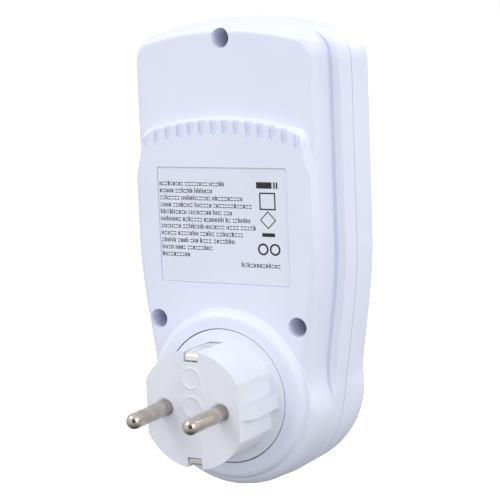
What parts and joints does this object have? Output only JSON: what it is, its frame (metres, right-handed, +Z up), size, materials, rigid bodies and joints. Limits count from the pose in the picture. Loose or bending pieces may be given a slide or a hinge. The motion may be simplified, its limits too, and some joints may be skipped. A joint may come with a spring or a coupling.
{
  "type": "plug-in power meter",
  "caption": "Wall-plug energy meter: a two-shell housing with an earthed mains plug behind, a shuttered socket in front, and a display with keys above it.",
  "frame": {"origin": "centre of the plug's front face, between the two pins", "axes": "+Y out of the plug's face towards the wall, along the pins; +Z up along the housing; +X right seen from the socket side"},
  "size_m": [0.0734, 0.0762, 0.1429],
  "materials": {
    "white_abs": "satin moulded ABS",
    "white_insert": "satin moulded",
    "key_plastic": "matte moulded",
    "nickel": "nickel-plated brass",
    "spring_brass": "stamped strip",
    "copper_alloy": "stamped manganin strip",
    "zinc_steel": "zinc-plated",
    "black_plastic": "matte",
    "grey_plastic": "matte",
    "board_laminate": "solder-masked laminate",
    "display_glass": "reflective display cell",
    "clear_window": "clear polished",
    "printed_label": "printed film",
    "capacitor_yellow": "moulded box",
    "varistor_blue": "epoxy coated",
    "battery_wrap": "shrink sleeve",
    "wire_red": "PVC insulation",
    "wire_blue": "PVC insulation"
  },
  "bodies": {
    "housing": {"rear_shell": "white_abs", "front_shell": "white_abs", "plug_insert": "white_insert", "live_pin": "nickel", "neutral_pin": "nickel", "plug_earth_contact_top": "nickel", "plug_earth_contact_bottom": "nickel", "socket_insert": "white_insert", "shutter_spring": "zinc_steel", "shutter_cover": "white_insert", "live_contact": "spring_brass", "neutral_contact": "spring_brass", "current_shunt": "copper_alloy", "earth_yoke": "spring_brass", "live_wire": "wire_red", "neutral_wire": "wire_blue", "main_board": "board_laminate", "display_board": "board_laminate", "x2_capacitor": "capacitor_yellow", "varistor": "varistor_blue", "fusible_resistor": "grey_plastic", "metering_chip": "black_plastic", "filter_capacitor": "black_plastic", "backup_battery": "battery_wrap", "board_header": "black_plastic", "controller_chip": "black_plastic", "display_window": "clear_window", "lcd_glass": "display_glass", "lcd_holder": "white_insert", "zebra_strip_upper": "grey_plastic", "zebra_strip_lower": "grey_plastic", "rating_label": "printed_label", "tact_switch_function": "grey_plastic", "tact_switch_cost": "grey_plastic", "tact_switch_up": "grey_plastic", "tact_switch_down": "grey_plastic", "tact_switch_reset": "grey_plastic", "housing_screw_left": "zinc_steel", "housing_screw_right": "zinc_steel", "housing_screw_top": "zinc_steel", "main_board_screw_left": "zinc_steel", "main_board_screw_right": "zinc_steel", "display_board_screw_upper_left": "zinc_steel", "display_board_screw_upper_right": "zinc_steel", "display_board_screw_lower_left": "zinc_steel", "display_board_screw_lower_right": "zinc_steel"},
    "shutter": {"shutter": "grey_plastic"},
    "socket_earth_clip_top": {"socket_earth_clip_top": "nickel"},
    "socket_earth_clip_bottom": {"socket_earth_clip_bottom": "nickel"},
    "key_function": {"key_function": "key_plastic", "switch_plunger_function": "black_plastic"},
    "key_cost": {"key_cost": "key_plastic", "switch_plunger_cost": "black_plastic"},
    "key_up": {"key_up": "key_plastic", "switch_plunger_up": "black_plastic"},
    "key_down": {"key_down": "key_plastic", "switch_plunger_down": "black_plastic"},
    "key_reset": {"key_reset": "key_plastic", "switch_plunger_reset": "black_plastic"}
  },
  "joints": [
    {"name": "key_function_press", "type": "slide", "parent": "housing", "child": "key_function", "axis": [0, 1, 0], "range_m": [0, 0.0008], "stiffness_N_per_m": 1500},
    {"name": "key_cost_press", "type": "slide", "parent": "housing", "child": "key_cost", "axis": [0, 1, 0], "range_m": [0, 0.0008], "stiffness_N_per_m": 1500},
    {"name": "key_up_press", "type": "slide", "parent": "housing", "child": "key_up", "axis": [0, 1, 0], "range_m": [0, 0.0008], "stiffness_N_per_m": 1500},
    {"name": "key_down_press", "type": "slide", "parent": "housing", "child": "key_down", "axis": [0, 1, 0], "range_m": [0, 0.0008], "stiffness_N_per_m": 1500},
    {"name": "key_reset_press", "type": "slide", "parent": "housing", "child": "key_reset", "axis": [0, 1, 0], "range_m": [0, 0.0008], "stiffness_N_per_m": 1500},
    {"name": "shutter_turn", "type": "hinge", "parent": "housing", "child": "shutter", "pos_m": [0, -0.0354, 0], "axis": [0, 1, 0], "range_deg": [0, 42], "stiffness_Nm_per_rad": 0.02},
    {"name": "earth_clip_top_flex", "type": "hinge", "parent": "housing", "child": "socket_earth_clip_top", "pos_m": [0, -0.0329, 0.02085], "axis": [-1, 0, 0], "range_deg": [0, 6], "stiffness_Nm_per_rad": 1.6},
    {"name": "earth_clip_bottom_flex", "type": "hinge", "parent": "housing", "child": "socket_earth_clip_bottom", "pos_m": [0, -0.0329, -0.02085], "axis": [1, 0, 0], "range_deg": [0, 6], "stiffness_Nm_per_rad": 1.6}
  ]
}
